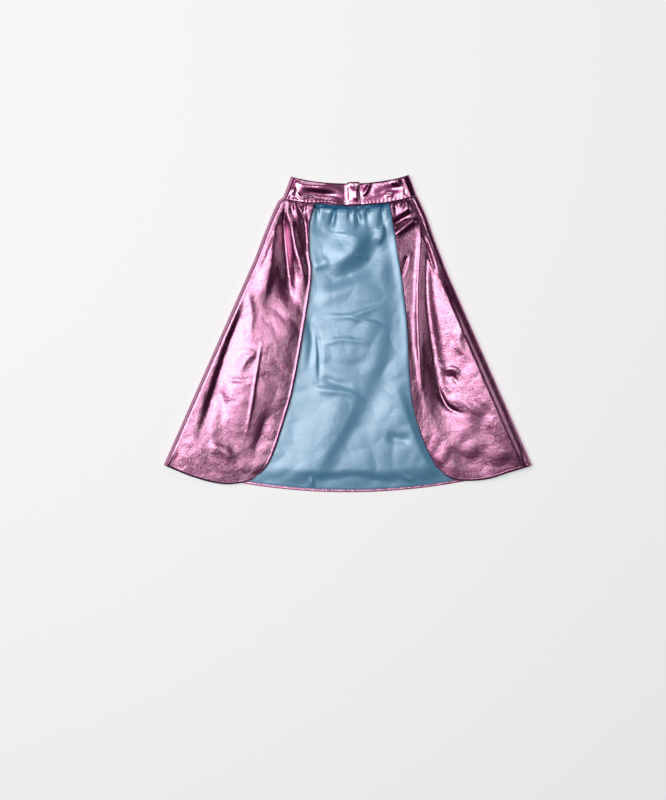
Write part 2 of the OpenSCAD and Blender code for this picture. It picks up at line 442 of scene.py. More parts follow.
# How far cloth bulges out past each side fold: heights along the fold, and the bulge there
BULGE = {
    LEFT: [(110, 0), (150, 2.2), (178, 3.2), (193, 2.4), (200, -1.6), (228, 0)],
    RIGHT: [(90, 0), (138, 2.6), (170, 5.6), (192, 5.2), (201, 4.6), (230, 6.5)],
}


def bulge(side, y):
    at, out = np.array(BULGE[side], float).T
    return np.interp(y, at, out)


def fold_point(side, y, inset):
    """Points on the line that is inset from a side fold, at the fold's height y along it."""
    x = (APEX_Y - y) * SIDE_TAN
    inset = inset - bulge(side, y) * (1 - smoothstep(inset, 4, SEAM_INSET))
    return np.stack([side * (x - inset * SIDE_COS), y - inset * SIDE_SIN], -1)


def inset_from_fold(side, x, y):
    return (APEX_Y - y) * SIDE_SIN - side * x * SIDE_COS


def coons(top, bottom, left, right, share):
    """A grid between four edges. Top and bottom run across. Left and right run down, and
    share tells how far down each of their points is."""
    u = np.linspace(0, 1, len(top))[None, :, None]
    v = share.reshape(-1, 1, 1)
    ruled = (1 - v) * top[None] + v * bottom[None] + (1 - u) * left[:, None] + u * right[:, None]
    corners = (
        (1 - u) * (1 - v) * top[0] + u * (1 - v) * top[-1]
        + (1 - u) * v * bottom[0] + u * v * bottom[-1]
    )
    return ruled - corners


def around_neck(radius, angle):
    """The x and y of places at this distance and angle from the neck's centre."""
    return radius * np.sin(angle), NECK_Y - radius * np.cos(angle)


def neck_polar(point):
    """The angle and distance of a place from the neck's centre."""
    return math.atan2(point[0], NECK_Y - point[1]), math.hypot(point[0], NECK_Y - point[1])


def neck_arc(x_from, x_to, count):
    """Points along the neck seam."""
    angle = np.linspace(math.asin(x_from / NECK_R), math.asin(x_to / NECK_R), count)
    return np.stack(around_neck(NECK_R, angle), -1)


FRONT_ROWS, FRONT_COLS = 190, 76
# The turn under each side fold: distance in from the fold, and height
UNDERSIDE = [(12, 0.4), (9, 0.4), (5.5, 0.6), (2.6, 1.3), (0.9, 2.9), (0.2, 4.8), (0.0, 6.4)]
TURN_POINTS = 40
TURN = {
    side: curve(UNDERSIDE + topside, TURN_POINTS)
    for side, topside in {
        LEFT: [(0.4, 7.9), (1.4, 9.0), (2.6, 10.4), (3.8, 11.8), (4.9, 12.8), (6.0, 13.2)],
        RIGHT: [(0.4, 8.0), (1.3, 9.4), (2.6, 10.5), (3.8, 11.2), (5.0, 11.7), (6.0, 12.1)],
    }.items()
}
# How much each front dips beside its side fold
SHOULDER = {LEFT: 0.0, RIGHT: 1.2}
# Where the right panel stops falling towards its front edge
PLATEAU_X = 108
# The share by which each cloth was cut wider than the panel that it is gathered into
FRONT_FULLNESS, BACK_FULLNESS = 0.03, 0.02
# Thickness of the cloths, how far the lining lies below the shell, and the radius of their rims
SHELL_T, LINING_T = 0.35, 0.3
LINING_DEPTH = 1.5
SHELL_ROLL, LINING_ROLL = 0.8, 0.7
# How far the lining's rim turns, in radians, and the cloth that the rolled edges take
LINING_TURN = 1.2
FRONT_TURNED = (2.5, 2.5)


def graded(count):
    """Shares from 0 to 1 that are close together at first."""
    t = np.linspace(0, 1, count)
    return 0.42 * t + 0.58 * t * t


def gathers(x, y, tucks):
    """Cloth that swells below a gathered seam, with tucks in it."""
    below = np.hypot(x, NECK_Y - y) - NECK_R
    total = 3.0 * smoothstep(below, 0, 7) * np.exp(-below / 20)
    for start, drift, depth, length in tucks:
        away = (x - start - drift * below) / (1.5 + 0.16 * below)
        total -= depth * np.exp(-(away**2) - below / length)
    return total


def front_plan(side, down):
    """The grid of a front in plan. Its side fold runs through the heights down."""
    left = fold_point(side, down, FOLD_R)
    right = evenly(curve(FRONT_EDGE[side], 400), graded(FRONT_ROWS))
    top = evenly(neck_arc(left[0, 0], FRONT_EDGE[side][0][0], 200), FRONT_COLS)
    bottom = curve(FRONT_HEM[side] + [tuple(left[-1])], FRONT_COLS)[::-1]
    return coons(top, bottom, left, right, graded(FRONT_ROWS))


def front_height(side, plan, drop):
    """The height of a front's cloth before it settles. drop is the share down the cloth."""
    x, y = plan[..., 0], plan[..., 1]
    inset = inset_from_fold(side, x, y) - FOLD_R
    height = 2 * FOLD_R - 0.6 - PANEL_SLOPE * inset - SHOULDER[side] * np.exp(-inset / 6)
    edge = np.linspace(0, 1, FRONT_COLS)[None, :] + 0 * x
    body = smoothstep(inset, 0, 9)
    to_edge = np.linalg.norm(plan - plan[:, -1:], axis=2)
    if side == LEFT:
        height = height - 0.6 * smoothstep(edge, 0.8, 1) * smoothstep(drop, 0.2, 0.5)
        height = height + 1.1 * np.exp(-((to_edge / 2.4) ** 2)) * smoothstep(drop, 0.1, 0.2)
    else:
        plateau = np.clip(PLATEAU_X - x, 0, None) * smoothstep(drop, 0.05, 0.2)
        height = height + 0.11 * plateau * (1 - smoothstep(drop, 0.7, 0.95))
    height = height - 1.2 * smoothstep(drop, 0.93, 1)
    height += body * folds(x, y, FRONT_FOLDS[side])
    loose = 0.3 * waves(x, y, 64, 3 + side, 1.8) + 0.24 * crumple(x, y, 46, 33 + side)
    height += body * loose * smoothstep(drop, 0.05, 0.3)
    height += body * gathers(x, y, FRONT_TUCKS[side])
    at_seam = band_height(side, x, y) - 1.5
    height = at_seam + (height - at_seam) * smoothstep(drop, 0, 0.012)
    return np.maximum(height, 4.2)


def front_surface(side):
    """The middle of a front's cloth: from the seam under it, round the fold and across. Also
    the same cloth laid out smooth, which gives the size that it was cut to."""
    seam_y = fold_meets(NECK_R)
    down = seam_y + (CORNER.y - seam_y) * graded(FRONT_ROWS)
    plan = front_plan(side, down)
    drop = graded(FRONT_ROWS)[:, None] + np.zeros(plan.shape[:2])
    height = front_height(side, plan, drop)
    grid = buckled(plan, height, drop, 0.0007, (0.012, 0.3), 3.6, 160)
    turn = np.stack([np.column_stack([fold_point(side, down, d), np.full(FRONT_ROWS, z)])
                     for d, z in TURN[side]], 1)
    laid_out = np.dstack([plan, np.full(plan.shape[:2], turn[0, -1, 2])])
    return np.concatenate([turn, grid], axis=1), np.concatenate([turn, laid_out], axis=1)


def offset(grid, depth):
    """The grid moved towards its underside."""
    up = normals(grid)
    if up[..., 2].mean() < 0:
        up = -up
    return grid - depth * up


def build_front(side):
    name = SIDE_NAMES[side]
    surface, laid_out = front_surface(side)
    inside = surface[FRONT_ROWS // 2, FRONT_COLS // 2, :2]
    sides = ("right", "bottom_back")
    rolled = [rim(surface, sides, inside, SHELL_ROLL)]
    shell = sheet_mesh(f"{name}_shell_cloth", surface, SHELL_T, rolled)
    under = offset(surface, LINING_DEPTH)
    rolled = [rim(under, sides, inside, LINING_ROLL, LINING_TURN)]
    lining = sheet_mesh(f"{name}_lining_cloth", under, LINING_T, rolled)
    return shell, lining, flat_cut(laid_out, FRONT_FULLNESS, FRONT_TURNED)


# ---------------------------------------------------------------- the back

BACK_ROWS, BACK_COLS = 180, 190
# Height of the cloth that faces the floor
BACK_LEVEL = 0.3
# Radius of the shell's rolled hem, and the lining's distance from the hem and own rolled edge
HEM_ROLL = 1.0
BACK_LINING_INSET, BACK_LINING_ROLL = 3.5, 0.6
BACK_FOLDS = [
    # half-moon swell that ends in a curved crest, and smaller swells beside it
    ([(14, 168), (15, 140), (0, 117), (-40, 100)], 4.2, 15, 24),
    ([(-24, 110), (-40, 102), (-60, 96)], 1.6, 8, 9),
    ([(48, 162), (49, 144), (40, 128)], 2.4, 4, 11),
    # fold that slants from the seam to the left front, and the one below the swells
    ([(-20, 178), (-32, 160), (-48, 138)], -1.5, 9, 12),
    ([(44, 156), (34, 112), (4, 84), (-50, 64)], -3.2, 15, 14),
    ([(-50, 48), (0, 72), (44, 86)], 2.0, 13, 14),
    # shallow valley beside the right front
    ([(56, 160), (62, 110), (70, 50)], -1.5, 24, 12),
    # long slanting fold and the swell on its left
    ([(62, 100), (66, 42), (66, -8), (42, -82), (-13, -178), (-48, -238)], -1.5, 20, 15),
    ([(18, -70), (-8, -130), (-42, -190), (-60, -240)], 1.4, 12, 46),
    # swell in the lower right
    ([(62, -60), (84, -120), (112, -186), (130, -240)], 2.2, 10, 34),
    # wrinkles across
    ([(8, 112), (20, 114), (32, 106)], 0.9, 3, 3),
    ([(-42, 28), (0, 27), (40, 40), (60, 54)], 0.8, 3.4, 5),
    ([(-8, 28), (30, 18), (66, 6)], 0.8, 3, 4),
    ([(-44, -16), (-12, -7), (12, -9), (46, -13)], 0.8, 3, 5),
    ([(-40, -40), (0, -46), (45, -36)], -1.0, 9, 10),
    ([(-60, -77), (-34, -80), (0, -84), (28, -96)], 1.0, 3.4, 7),
    ([(-40, -60), (-20, -70), (10, -76)], -0.9, 5, 6),
    ([(-46, 14), (-42, -30), (-42, -74)], -1.2, 4, 3),
    ([(-60, 30), (-52, -10), (-60, -60)], -1.4, 6, 6),
    # hem
    ([(-90, -206), (-40, -210), (10, -205), (60, -212), (104, -200)], -1.0, 6, 7),
    ([(-54, -206), (-53, -216), (-52, -224)], 2.0, 2.4, 2.4),
    ([(78, -202), (86, -209), (98, -212)], 1.0, 2.5, 2.5),
    ([(54, -146), (74, -152), (96, -150)], -1.5, 8, 8),
]
BACK_TUCKS = [(-43, -0.10, 4.0, 12), (-18, -0.20, 4.6, 24), (2.4, 0.02, 3.8, 10),
              (12.7, 0.12, 4.6, 26), (29, -0.04, 4.0, 12), (49, 0.05, 3.6, 20)]


def back_plan_grid(hem_inset):
    """A grid between the neck seam, the hem and both side seams."""
    inset = (SEAM_INSET - SEAM_LAP) / SIDE_COS
    top_half = (APEX_Y - fold_meets(NECK_R)) * SIDE_TAN - inset
    top = neck_arc(-top_half, top_half, BACK_COLS)
    bottom_half = (APEX_Y - CORNER.y) * SIDE_TAN - inset
    angle = np.linspace(-1, 1, BACK_COLS) * math.asin(bottom_half / HEM_R)
    radius = HEM_R - hem_inset
    bottom = np.stack([HEM_R * np.sin(angle), HEM_LOW + HEM_R - radius * np.cos(angle)], -1)
    share = graded(BACK_ROWS)[:, None]
    left = top[0] + (bottom[0] - top[0]) * share
    right = top[-1] + (bottom[-1] - top[-1]) * share
    return coons(top, bottom, left, right, share)


def clear_of_front(side, x, y):
    """How far each place is from a front's edge, towards the middle of the cape."""
    edge = curve(FRONT_EDGE[side] + FRONT_HEM[side][1:3], 60)
    return np.interp(-y, -edge[:, 1], side * edge[:, 0]) - side * x


def back_height(plan, drop):
    """The height of the back lining before it settles. drop is the share down the cloth."""
    x, y = plan[..., 0], plan[..., 1]
    edge = np.linspace(-1, 1, BACK_COLS)[None, :] + 0 * x
    calm = smoothstep(1 - np.abs(edge), 0, 0.12)
    from_left, from_right = clear_of_front(LEFT, x, y), clear_of_front(RIGHT, x, y)
    shown = np.minimum(smoothstep(from_left, -6, 10), smoothstep(from_right, -6, 12))
    rise = smoothstep(from_left, -30, -4) + 2.4 * smoothstep(from_left, 0, 75)
    rise = np.minimum(rise, 3.4 * smoothstep(from_right, -14, 4))
    height = 1.5 + rise * smoothstep(drop, 0, 0.03) * (1 - smoothstep(drop, 0.93, 1))
    height += shown * (folds(x, y, BACK_FOLDS) + 0.22 * crumple(x, y, 52, 5))
    full = (0.3 + 0.9 * shown) * calm * smoothstep(drop, 0, 0.012)
    height += full * gathers(x, y, BACK_TUCKS)
    return np.maximum(height, 1.1)


def build_back_lining():
    plan = back_plan_grid(BACK_LINING_INSET)
    drop = graded(BACK_ROWS)[:, None] + np.zeros(plan.shape[:2])
    height = back_height(plan, drop)
    grid = buckled(plan, height, drop, 0.0012, (0.008, 0.25), 1.1, 140)
    rolled = [rim(grid, ("bottom",), (0, 0), BACK_LINING_ROLL)]
    lining = sheet_mesh("back_lining_cloth", grid, LINING_T, rolled)
    return lining, flat_cut(np.dstack([plan, 0 * drop]), BACK_FULLNESS)


def build_back_shell():
    """The shell lies flat on the floor, and rolls over to the lining's side at the hem."""
    plan = back_plan_grid(HEM_ROLL)
    to_hem = np.linalg.norm(plan - plan[-1], axis=2)
    height = BACK_LEVEL + (2 * HEM_ROLL - 0.1) * smoothstep(-to_hem, -5, -1)
    grid = np.dstack([plan, height])
    return sheet_mesh("back_shell_cloth", grid, SHELL_T, [rim(grid, ("bottom",), (0, 0), HEM_ROLL)])


# ---------------------------------------------------------------- the collar

BAND_ROWS, BAND_COLS = 22, 90
# How far the topstitching lies above the lower edge
STITCH_UP = 2.5
# The collar's layers: the gap between them, the thickness of the outer cloth, interfacing and
# facing, and the outer cloth that is turned in along the edges
LAYER_GAP = 0.8
OUTER_T, INTERFACING_T, FACING_T = 0.4, 0.7, 0.35
OUTER_TURNED = 5.0
# How far the tab's cloth passes the collar's upper edge, and stops short of its lower edge
TAB_OVER, TAB_SHORT = 1.8, 0.4
BAND_FOLDS = {
    LEFT: [
        ([(-84, 226), (-66, 216), (-46, 214), (-14, 213)], 2.0, 5, 7),
        ([(-72, 208), (-54, 205), (-34, 203), (-8, 204)], -1.9, 6, 7),
        ([(-76, 209), (-68, 198), (-54, 199), (-44, 194)], 1.3, 2.2, 2.2),
        ([(-84, 232), (-80, 214), (-79, 196)], 1.6, 3, 6),
    ],
    RIGHT: [
        ([(21, 198), (27, 209), (34, 222)], 1.7, 3, 2.6),
        ([(36, 204), (56, 208), (80, 212)], -1.0, 7, 6),
        ([(60, 222), (75, 221), (84, 226)], 1.8, 5, 5),
        ([(52, 201), (60, 202), (66, 198)], 0.9, 2.2, 2.2),
        ([(82, 200), (84, 214), (86, 230)], -1.6, 1.6, 2.4),
    ],
}


def fold_meets(radius):
    """The height y at which the circle about the neck's centre crosses a side fold."""
    a = SIDE_TAN**2 + 1
    b = SIDE_TAN**2 * APEX_Y + NECK_Y
    c = SIDE_TAN**2 * APEX_Y**2 + NECK_Y**2 - radius**2
    return (b - math.sqrt(b * b - a * c)) / a


def band_height(side, x, y):
    """Height of the outer cloth on the front halves of the collar, without its folds."""
    slope = UNDER_SLOPE if side == RIGHT else 0
    return 2 * FOLD_R - 0.35 - slope * (inset_from_fold(side, x, y) - FOLD_R)


def band_surface(side):
    """The outer cloth of a front half: up from the seam underneath, and across the front."""
    end = TAB_FROM if side == LEFT else -4.5
    lift = 4.5 if side == LEFT else 1.0
    rows = []
    for up in np.linspace(0, 1, BAND_ROWS):
        radius = NECK_R - up * BAND_H
        y = fold_meets(radius)
        turn = [(*fold_point(side, y, d), z) for d, z in TURN[side]]
        first_angle, first_far = neck_polar(fold_point(side, y, FOLD_R))
        angle = np.linspace(first_angle, end / NECK_R, BAND_COLS)
        far = np.linspace(first_far, radius, BAND_COLS)
        middle = np.exp(-(((far * np.sin(angle) - side * 30) / 17) ** 2))
        far = far - lift * (1 - up) * middle
        px, py = around_neck(far, angle)
        rows.append(turn + list(zip(px, py, band_height(side, px, py))))
    grid = np.array(rows)[::-1]
    x, y = grid[..., 0], grid[..., 1]
    inset = inset_from_fold(side, x, y)
    front = smoothstep(inset, FOLD_R, FOLD_R + 6) * (grid[..., 2] > 8)
    ease = smoothstep(-x, 4, 14) if side == LEFT else smoothstep(x, 14, 22)
    low = np.linspace(1, 0, BAND_ROWS)[::-1][:, None] + 0 * x
    pucker = np.exp(-(((low - 0.93) / 0.07) ** 2)) * np.sin(x * 1.15 + 0.8 * waves(x, y, 30, 41))
    bumps = folds(x, y, BAND_FOLDS[side]) + 0.2 * waves(x, y, 40, 44 + side, 0.4)
    grid[..., 2] += front * ease * (bumps + 0.10 * pucker)
    if side == LEFT:
        grid[..., 2] += front * tab_root(x)
    return grid


def tab_root(x):
    """The shallow valley in which the left half of the collar runs up to the tab."""
    width = np.where(x < -3, 11, 4)
    return -1.3 * np.exp(-(((x + 3) / width) ** 2))


def back_band_surface():
    """The collar behind the neck, from one side seam to the other."""
    rows = []
    for up in np.linspace(1, 0, BAND_ROWS):
        radius = NECK_R - up * BAND_H
        half, far = neck_polar(fold_point(RIGHT, fold_meets(radius), SEAM_INSET - SEAM_LAP))
        angle = np.linspace(-half, half, 2 * BAND_COLS)
        x, y = around_neck(far, angle)
        rows.append(np.stack([x, y, BACK_LEVEL + 0 * angle], 1))
    return np.array(rows)


def tab_surface():
    """The closure tab's outer cloth, which goes on from the left half of the collar."""
    angle = np.linspace(TAB_FROM / NECK_R, TAB_TO / NECK_R, 36)
    share = np.linspace(0, 1, BAND_ROWS)[:, None]
    on_tab = smoothstep(angle * NECK_R, -2, 1)
    top, bottom = BAND_R - TAB_OVER * on_tab, NECK_R - TAB_SHORT * on_tab
    radius = top + share * (bottom - top)
    x, y = around_neck(radius, angle)
    join = smoothstep(x, TAB_FROM, 2)
    on_right = band_height(RIGHT, x, y) + TAB_RISE
    height = (1 - join) * band_height(LEFT, x, y) + join * on_right
    height = height + tab_root(x)
    # the stitches pull the cloth in along three sides of their box, and it swells inside
    up = NECK_R - radius
    to_ends = np.minimum(np.abs(up - BOX_UP[0]), np.abs(up - BOX_UP[1]))
    to_ends = to_ends + np.clip(BOX_X[0] - x, 0, None)
    to_box = np.minimum(np.abs(x - BOX_X[1]), to_ends)
    height = height - 0.3 * np.exp(-((to_box / 1.1) ** 2)) * (1 + 0.6 * waves(x, y, 5, 52))
    inside = smoothstep(x, BOX_X[0] - 3, 12) * smoothstep(BOX_X[1] - x, 0, 4)
    inside = inside * smoothstep(up - BOX_UP[0], 0, 8) * smoothstep(BOX_UP[1] - up, 0, 8)
    height = height + inside * (1.3 + 0.2 * waves(x, y, 12, 51))
    return np.dstack([x, y, height])


def stiffened(grid, stiff_from):
    """The part of the collar that has interfacing: it is trimmed at its edges, and it starts at
    the column stiff_from, short of a fold."""
    return grid[1:-1, stiff_from:-1]


def band_layers(name, grid, sides, face=1, stiff_from=1):
    """The collar's outer cloth, interfacing and facing, from its outer cloth. face is 1 where
    the outer cloth faces up, and -1 where it faces the floor."""
    inside = grid[BAND_ROWS // 2, grid.shape[1] // 2, :2]
    rolled = [rim(grid, group, inside, LAYER_GAP) for group in sides]
    outer = sheet_mesh(f"{name}_outer_cloth", grid, OUTER_T, rolled, face)
    stiff = stiffened(offset(grid, face * LAYER_GAP), stiff_from)
    middle = sheet_mesh(f"{name}_interfacing_felt", stiff, INTERFACING_T)
    facing = sheet_mesh(f"{name}_facing_cloth", offset(grid, face * 2 * LAYER_GAP), FACING_T)
    return outer, middle, facing


# Height of the binding at the seam, and how much it falls for each millimetre away from it
BINDING_LEVEL, BINDING_FALL = 5.4, 0.32
BINDING_ROLL = 0.6
# The row of the binding's grid that its stitches follow
BINDING_STITCH_ROW = 6.6


def binding_surface(side):
    """The strip over the neck seam: side is LEFT, RIGHT, or 0 behind the neck."""
    away = np.linspace(-0.5, 6, 9)[:, None]
    radius = NECK_R + away
    if side == 0:
        half, _ = neck_polar(fold_point(RIGHT, fold_meets(NECK_R + 3), SEAM_INSET + 1))
        x, y = around_neck(radius, np.linspace(-1, 1, 140) * half)
        height = BINDING_LEVEL - BINDING_FALL * away + 0.25 * waves(x, y, 14, 61)
        return np.dstack([x, y, height])
    start, _ = neck_polar(fold_point(side, fold_meets(NECK_R + 3), FOLD_R + 4))
    end = FRONT_EDGE[side][0][0] + side * 3
    x, y = around_neck(radius, np.linspace(start, math.asin(end / NECK_R), 40))
    return np.dstack([x, y, band_height(side, x, y) - 5.2])


def binding_strip(name, grid):
    """Binding tape with both of its long edges turned under."""
    inside = grid[grid.shape[0] // 2, grid.shape[1] // 2, :2]
    edges = [rim(grid, (edge,), inside, BINDING_ROLL) for edge in ("top", "bottom")]
    return sheet_mesh(name, grid, LINING_T, edges)


# ---------------------------------------------------------------- closure and stitches


def tube(path, radius, sides=6):
    """Points and faces of a closed tube along a path, pinched at both ends."""
    path = np.asarray(path, float)
    run = np.gradient(path, axis=0)
    run /= np.linalg.norm(run, axis=1, keepdims=True)
    across = np.cross(run, [0, 0, 1.0])
    flat = np.linalg.norm(across, axis=1) < 0.1
    across[flat] = [1.0, 0, 0]
    across /= np.linalg.norm(across, axis=1, keepdims=True)
    up = np.cross(across, run)
    width = np.full(len(path), radius)
    width[0] = width[-1] = radius * 0.35
    turn = np.linspace(0, 2 * math.pi, sides, endpoint=False)
    ring = np.cos(turn)[None, :, None] * across[:, None] + np.sin(turn)[None, :, None] * up[:, None]
    points = (path[:, None] + width[:, None, None] * ring).reshape(-1, 3)
    ids = np.arange(len(points)).reshape(len(path), sides)
    wall = quads(np.concatenate([ids, ids[:, :1]], axis=1)).tolist()
    return points, wall + [ids[0].tolist(), ids[-1, ::-1].tolist()]


def tubes_mesh(name, paths, radius, sides=6):
    points, faces, first = [], [], 0
    for path in paths:
        more, walls = tube(path, radius, sides)
        points.append(more)
        faces += [[i + first for i in face] for face in walls]
        first += len(more)
    all_points = np.vstack(points)
    return new_mesh(name, all_points, faces, all_points[:, :2])


# From one stitch to the next, the length of a stitch, and the steps that a line is cut into
STITCH_PITCH, STITCH_LENGTH, STITCH_STEP = 3.1, 2.3, 0.1


def stitches(line):
    """The paths of a row of thread stitches along a line that lies on the cloth."""
    total = np.linalg.norm(np.diff(line, axis=0), axis=1).sum()
    fine = evenly(line, int(total / STITCH_STEP) + 2)
    step, part = int(STITCH_PITCH / STITCH_STEP), int(STITCH_LENGTH / STITCH_STEP)
    paths = []
    for first in range(0, len(fine) - part, step):
        bit = evenly(fine[first : first + part], 6)
        bit[:, 2] += 0.15 * np.sin(np.linspace(0, math.pi, 6)) - 0.02
        paths.append(bit)
    return paths


def surface_line(grid, row, first=0, last=None, lift=0.25):
    """A line on a grid along one row, which may lie between two rows."""
    low = int(row)
    line = grid[low] * (1 - row + low) + grid[low + 1] * (row - low)
    line = line[first:last].copy()
    line[:, 2] += lift
    return line


def surface_height(grid, x, y):
    """Height of the nearest point of a grid under each place."""
    flat = grid.reshape(-1, 3)
    near = [np.argmin((flat[:, 0] - a) ** 2 + (flat[:, 1] - b) ** 2) for a, b in zip(x, y)]
    return flat[near, 2]


def stitched_box(grid, x_range, y_range, lift):
    """Stitches along the four sides of a box, on the cloth of a grid."""
    (left, right), (low, high) = x_range, y_range
    corners = [(left, low), (right, low), (right, high), (left, high), (left, low)]
    paths = []
    for (x_from, y_from), (x_to, y_to) in zip(corners[:-1], corners[1:]):
        x, y = np.linspace(x_from, x_to, 12), np.linspace(y_from, y_to, 12)
        paths += stitches(np.stack([x, y, surface_height(grid, x, y) + lift], 1))
    return paths


# Sides of both pads, then each pad's height above the right half of the collar and thickness
PAD_X = (0.3, 15.7)
LOOP_PAD, HOOK_PAD = (0.7, 0.8), (2.15, 0.7)


def patch_mesh(name, level, thickness):
    """A pad of hook or loop tape, which follows the right half of the collar."""
    x = np.linspace(*PAD_X, 18)[None, :] + np.zeros((24, 1))
    y = np.linspace(PATCH_TOP, PATCH_LOW, 24)[:, None] + 0 * x
    grid = np.dstack([x, y, band_height(RIGHT, x, y) + level])
    return sheet_mesh(name, grid, thickness), grid


def hooks(grid, height, reach):
    """Small bent bristles that stand on a pad: positive heights up, negative down."""
    paths = []
    for row in grid[2:-2:2, 1:-1:2]:
        for x, y, z in row:
            t = np.linspace(0, 1, 6)
            across, up = reach * np.sin(t * 2.6), height * np.sin(t * 2.2)
            paths.append(np.stack([x + across, y + 0 * t, z + up], 1))
    return paths


# ---------------------------------------------------------------- materials


class Nodes:
    """Short names for the nodes of one material."""

    def __init__(self, name):
        self.material = bpy.data.materials.new(name)
        self.material.use_nodes = True
        self.tree = self.material.node_tree
        self.shader = self.tree.nodes["Principled BSDF"]

    def add(self, kind, **values):
        node = self.tree.nodes.new(kind)
        for key, value in values.items():
            if key in node.inputs:
                node.inputs[key].default_value = value
            else:
                setattr(node, key, value)
        return node

    def link(self, source, target):
        self.tree.links.new(source, target)

    def set(self, **values):
        for key, value in values.items():
            self.shader.inputs[key.replace("_", " ").title().replace("Ior", "IOR")].default_value = value

    def cloth(self, scale_x, scale_y):
        """The cloth's own map, in repeats a metre."""
        uv = self.add("ShaderNodeUVMap")
        uv.uv_map = "cloth"
        mapping = self.add("ShaderNodeMapping", Scale=(scale_x, scale_y, 1))
        self.link(uv.outputs["UV"], mapping.inputs["Vector"])
        return mapping.outputs["Vector"]

    def noise(self, vector, scale, detail=2.0, rough=0.5):
        node = self.add("ShaderNodeTexNoise", Scale=scale, Detail=detail, Roughness=rough)
        self.link(vector, node.inputs["Vector"])
        return node.outputs["Fac"]

    def ramp(self, source, stops):
        node = self.add("ShaderNodeValToRGB")
        elements = node.color_ramp.elements
        while len(elements) < len(stops):
            elements.new(0.5)
        for element, (at, colour) in zip(elements, stops):
            element.position = at
            element.color = (*colour, 1)
        self.link(source, node.inputs["Fac"])
        return node.outputs["Color"]

    def feed(self, source, *sockets):
        for socket in sockets:
            self.link(source, self.shader.inputs[socket])

    def shade(self, pattern, colour, at, shares):
        """Colours the cloth by a pattern, from a dark to a light share of its colour."""
        shades = [tuple(min(1, c * share) for c in colour) for share in shares]
        self.feed(self.ramp(pattern, list(zip(at, shades))), "Base Color")

    def bump(self, height, distance, strength, normal=None):
        node = self.add("ShaderNodeBump", Strength=strength, Distance=distance)
        self.link(height, node.inputs["Height"])
        if normal is not None:
            self.link(normal, node.inputs["Normal"])
        return node.outputs["Normal"]


def grey(value):
    return (value, value, value)


def foil_material(name, colour, roughness, grain, crush):
    """Foil printed on a knit: a rough coloured metal below a clear gloss with fine grain."""
    m = Nodes(name)
    vector = m.cloth(1, 1)
    knit = m.noise(vector, 430, 3, 0.75)
    m.shade(knit, colour, (0.36, 0.64), (1 - 0.6 * grain, 1 + 0.8 * grain))
    worn = [(0.25, grey(roughness - 0.05)), (0.75, grey(roughness + 0.09))]
    m.feed(m.ramp(m.noise(vector, 900, 2), worn), "Roughness")
    m.set(metallic=1.0, coat_weight=1.0, coat_roughness=0.15, coat_ior=2.8)
    crushed = m.bump(m.noise(vector, 75, 4), 0.0018 * crush, 0.5)
    m.feed(m.bump(knit, 0.0004 * grain, 0.6, crushed), "Normal")
    m.feed(m.bump(knit, 0.0006 * grain, 0.7, crushed), "Coat Normal")
    return m.material


def satin_material(name, colour, roughness, gloss):
    """Satin: long floating threads, so it shines, with a fine lengthwise grain."""
    m = Nodes(name)
    threads = m.cloth(3.0, 0.5)
    m.shade(m.noise(threads, 900, 2), colour, (0.3, 0.7), (0.86, 1.12))
    m.set(metallic=0.25, roughness=roughness, coat_weight=gloss, coat_roughness=0.34,
          coat_ior=2.3, sheen_weight=0.15, sheen_roughness=0.4)
    weave = m.bump(m.noise(threads, 1500, 2), 0.00006, 0.35)
    soft = m.bump(m.noise(m.cloth(1, 1), 80, 3), 0.0007, 0.4, weave)
    m.feed(soft, "Normal", "Coat Normal")
    return m.material


def matt_material(name, colour, roughness, grain, darkest):
    """Felt, or the nylon tape of the closure. grain is its noise: scale, detail and roughness."""
    m = Nodes(name)
    fibre = m.noise(m.cloth(1, 1), *grain)
    m.shade(fibre, colour, (0.3, 0.7), (darkest, 1))
    m.set(roughness=roughness, sheen_weight=0.2)
    m.feed(m.bump(fibre, 0.0002, 0.6), "Normal")
    return m.material


def thread_material(name, colour):
    """Twisted thread, with its plies across it."""
    m = Nodes(name)
    ply = m.add("ShaderNodeTexWave", Scale=700.0, Distortion=1.0)
    ply.bands_direction = "DIAGONAL"
    m.link(m.cloth(1, 1), ply.inputs["Vector"])
    m.shade(ply.outputs["Fac"], colour, (0.2, 0.8), (0.7, 1.2))
    m.set(roughness=0.5, sheen_weight=0.3)
    m.feed(m.bump(ply.outputs["Fac"], 0.0001, 0.5), "Normal")
    return m.material


# ---------------------------------------------------------------- stage

VIEW_CENTRE = (-21.75, -95.0)
VIEW_HEIGHT = 1160.0
LENS, SENSOR = 90.0, 36.0


def build_camera():
    data = bpy.data.cameras.new("camera")
    data.lens, data.sensor_width = LENS, SENSOR
    camera = bpy.data.objects.new("camera", data)
    distance = VIEW_HEIGHT / 2 * LENS / (SENSOR / 2) + FOLD_R
    camera.location = (VIEW_CENTRE[0] * MM, VIEW_CENTRE[1] * MM, distance * MM)
    data.clip_start, data.clip_end = 0.1, 30
    bpy.context.scene.collection.objects.link(camera)
    bpy.context.scene.camera = camera


# The room's brightness, from the horizon to straight above
ROOM = [(0.0, 0.20), (0.30, 0.008), (0.80, 0.008), (0.93, 0.08), (1.0, 0.27)]
# The pale floor also gives a little light of its own
FLOOR_GLOW = 0.50
# Softboxes that face the object: place, size and brightness. The key is on the left.
SOFTBOXES = [
    ("key_softbox", (-1.05, 0.25, 2.55), (0.85, 1.8), 6.0),
    ("right_strip", (2.4, 0.2, 0.7), (0.2, 1.6), 3.0),
    ("top_softbox", (0.0, 1.6, 1.8), (1.3, 0.35), 2.5),
]


